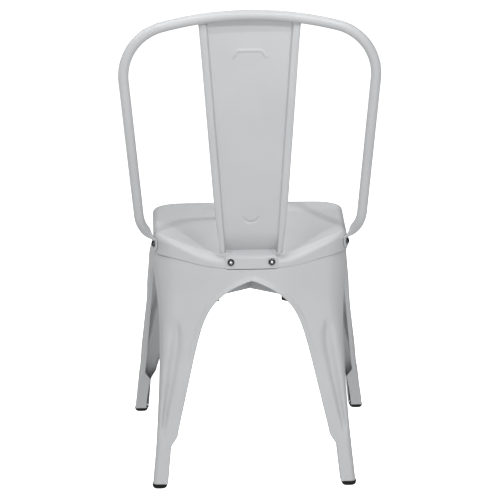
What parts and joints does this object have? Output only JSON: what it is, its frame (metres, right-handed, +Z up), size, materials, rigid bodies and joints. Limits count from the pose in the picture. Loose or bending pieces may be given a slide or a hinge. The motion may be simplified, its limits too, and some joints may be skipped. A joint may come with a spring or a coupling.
{
  "type": "stacking chair",
  "caption": "Stackable painted sheet-steel café side chair: scooped seat on arched folded legs, tubular back hoop, flanged central back splat, rubber feet.",
  "frame": {"origin": "on the floor, under the centre of the chair's bounding box", "axes": "+Z up; the sitter faces -Y, so the backrest is on the +Y side and +X is the sitter's left"},
  "size_m": [0.473, 0.5075, 0.8507],
  "materials": {
    "paint": "light silver-grey powder coat, satin",
    "bright_steel": "bright zinc-plated steel",
    "dark_steel": "blackened steel button-head bolts",
    "foot_rubber": "matt black rubber",
    "bumper_plastic": "matt black plastic"
  },
  "bodies": {
    "root": {"seat_pan": "paint", "leg_front_left": "paint", "foot_front_left": "foot_rubber", "stack_bumper_front_left": "bumper_plastic", "leg_front_right": "paint", "foot_front_right": "foot_rubber", "stack_bumper_front_right": "bumper_plastic", "leg_rear_left": "paint", "foot_rear_left": "foot_rubber", "stack_bumper_rear_left": "bumper_plastic", "leg_rear_right": "paint", "foot_rear_right": "foot_rubber", "stack_bumper_rear_right": "bumper_plastic", "brace_bar_left": "paint", "brace_bar_right": "paint", "back_hoop": "paint", "back_splat": "paint", "hoop_bolt_left": "dark_steel", "hoop_nut_left": "bright_steel", "splat_screw_left": "dark_steel", "splat_nut_left": "bright_steel", "hoop_bolt_right": "dark_steel", "hoop_nut_right": "bright_steel", "splat_screw_right": "dark_steel", "splat_nut_right": "bright_steel"}
  },
  "joints": []
}
